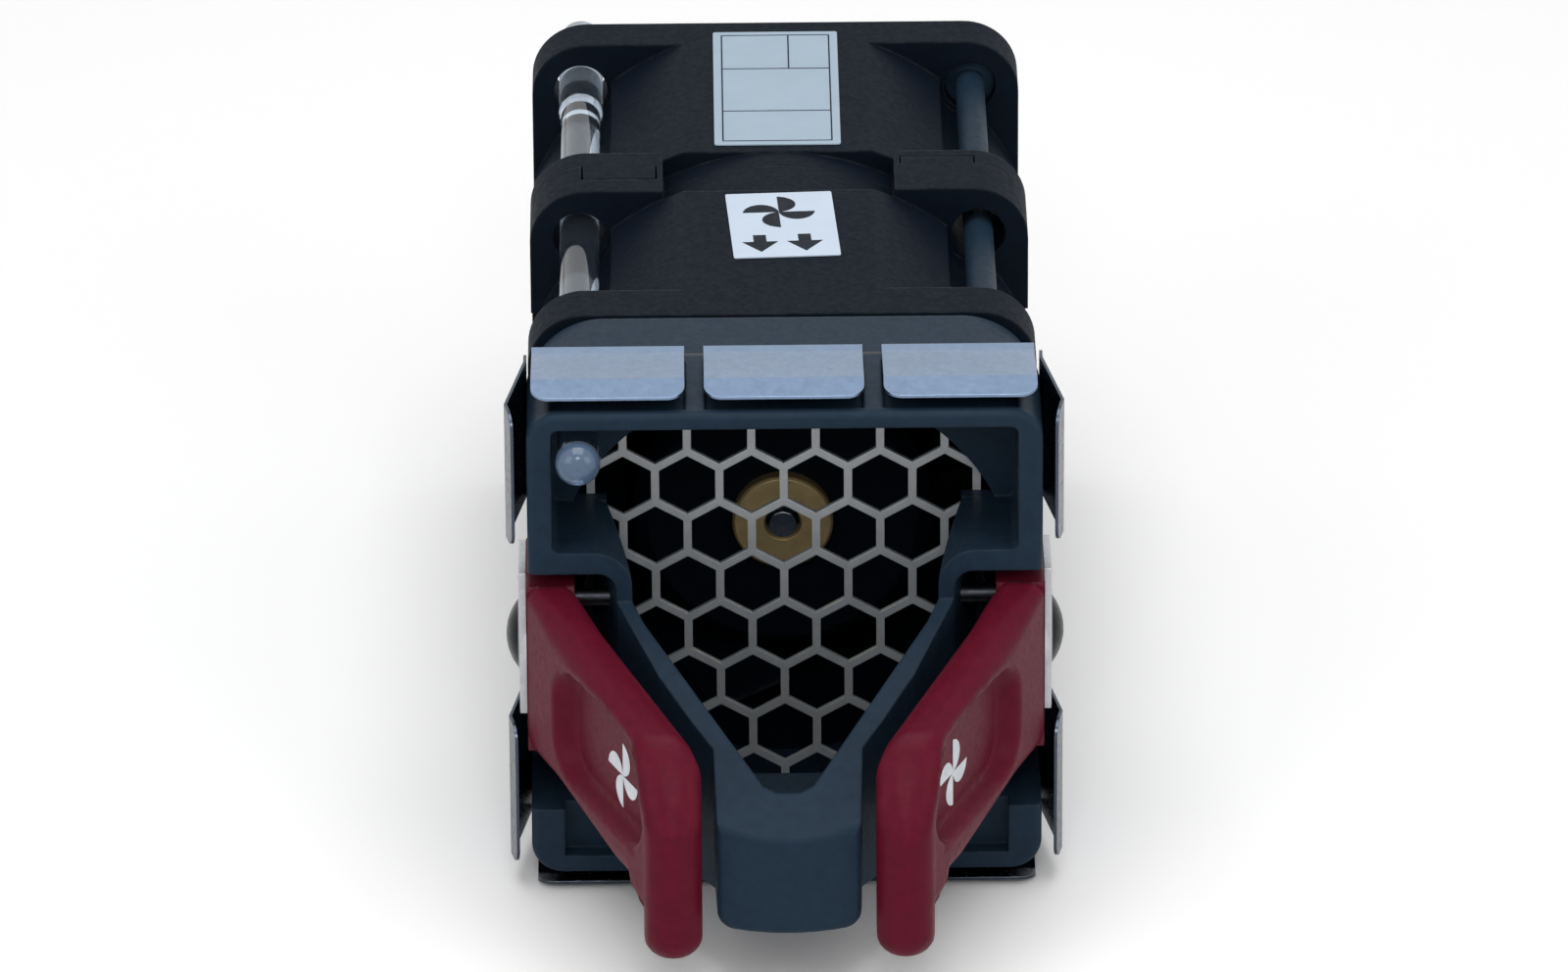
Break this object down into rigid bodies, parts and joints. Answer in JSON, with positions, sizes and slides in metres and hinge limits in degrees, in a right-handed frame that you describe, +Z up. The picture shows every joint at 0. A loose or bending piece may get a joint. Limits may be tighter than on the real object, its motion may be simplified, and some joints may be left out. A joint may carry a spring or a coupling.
{
  "type": "server fan module",
  "caption": "Hot-swap counter-rotating fan module for a rack server: fan pair, bezel with honeycomb grille, spring fingers and squeeze grips.",
  "frame": {"origin": "on the fan axis at the rear face of the rear fan flange", "axes": "-Y forward to the squeeze grips, +Z up, +X to the right of someone facing the grips"},
  "size_m": [0.0436, 0.103, 0.0434],
  "materials": {
    "bearing_steel": "ground and polished",
    "bezel_plastic": "fine moulded satin",
    "board": "solder mask",
    "brass": "turned",
    "clear_pipe": "clear, polished",
    "connector_plastic": "moulded",
    "contact_plating": "plated",
    "fan_plastic": "fine moulded satin",
    "ferrite": "matt",
    "finger_steel": "satin",
    "grille_steel": "satin",
    "grip_plastic": "satin",
    "laminations": "stacked sheet",
    "spring_steel": "ground",
    "windings": "enamelled wire"
  },
  "bodies": {
    "body": {"bezel": "bezel_plastic", "adapter_ring": "bezel_plastic", "fixing_posts": "bezel_plastic", "grille": "grille_steel", "light_pipe": "clear_pipe", "connector_housing": "connector_plastic", "connector_contacts": "contact_plating", "spring_finger_top_middle": "finger_steel", "spring_finger_top_right": "finger_steel", "spring_finger_top_left": "finger_steel", "spring_finger_bottom_right": "finger_steel", "spring_finger_bottom_left": "finger_steel", "spring_finger_right_upper": "finger_steel", "spring_finger_right_lower": "finger_steel", "spring_finger_left_upper": "finger_steel", "spring_finger_left_lower": "finger_steel", "left_guide_pins": "spring_steel", "left_return_spring": "spring_steel", "right_guide_pins": "spring_steel", "right_return_spring": "spring_steel", "front_housing": "fan_plastic", "front_stator_core": "laminations", "front_stator_coils": "windings", "front_circuit_board": "board", "front_bearing_tube": "brass", "front_bearing_inner": "bearing_steel", "front_bearing_outer": "bearing_steel", "front_preload_washer": "spring_steel", "rear_housing": "fan_plastic", "rear_stator_core": "laminations", "rear_stator_coils": "windings", "rear_circuit_board": "board", "rear_bearing_tube": "brass", "rear_bearing_inner": "bearing_steel", "rear_bearing_outer": "bearing_steel", "rear_preload_washer": "spring_steel"},
    "front_rotor": {"front_impeller": "fan_plastic", "front_yoke": "spring_steel", "front_magnet_ring": "ferrite", "front_hub_bush": "brass", "front_shaft": "bearing_steel", "front_shaft_clip": "spring_steel"},
    "rear_rotor": {"rear_impeller": "fan_plastic", "rear_yoke": "spring_steel", "rear_magnet_ring": "ferrite", "rear_hub_bush": "brass", "rear_shaft": "bearing_steel", "rear_shaft_clip": "spring_steel"},
    "left_grip": {"left_grip": "grip_plastic", "left_catch_plate": "spring_steel"},
    "right_grip": {"right_grip": "grip_plastic", "right_catch_plate": "spring_steel"}
  },
  "joints": [
    {"name": "front_rotor_spin", "type": "hinge", "parent": "body", "child": "front_rotor", "pos_m": [0, -0.042, 0], "axis": [0, 1, 0], "continuous": true},
    {"name": "rear_rotor_spin", "type": "hinge", "parent": "body", "child": "rear_rotor", "pos_m": [0, -0.014, 0], "axis": [0, 1, 0], "continuous": true},
    {"name": "left_grip_squeeze", "type": "slide", "parent": "body", "child": "left_grip", "axis": [1, 0, 0], "range_m": [0, 0.001], "stiffness_N_per_m": 2000, "springref_m": -0.0005, "deforming": ["left_return_spring"]},
    {"name": "right_grip_squeeze", "type": "slide", "parent": "body", "child": "right_grip", "axis": [-1, 0, 0], "range_m": [0, 0.001], "stiffness_N_per_m": 2000, "springref_m": -0.0005, "deforming": ["right_return_spring"]}
  ]
}
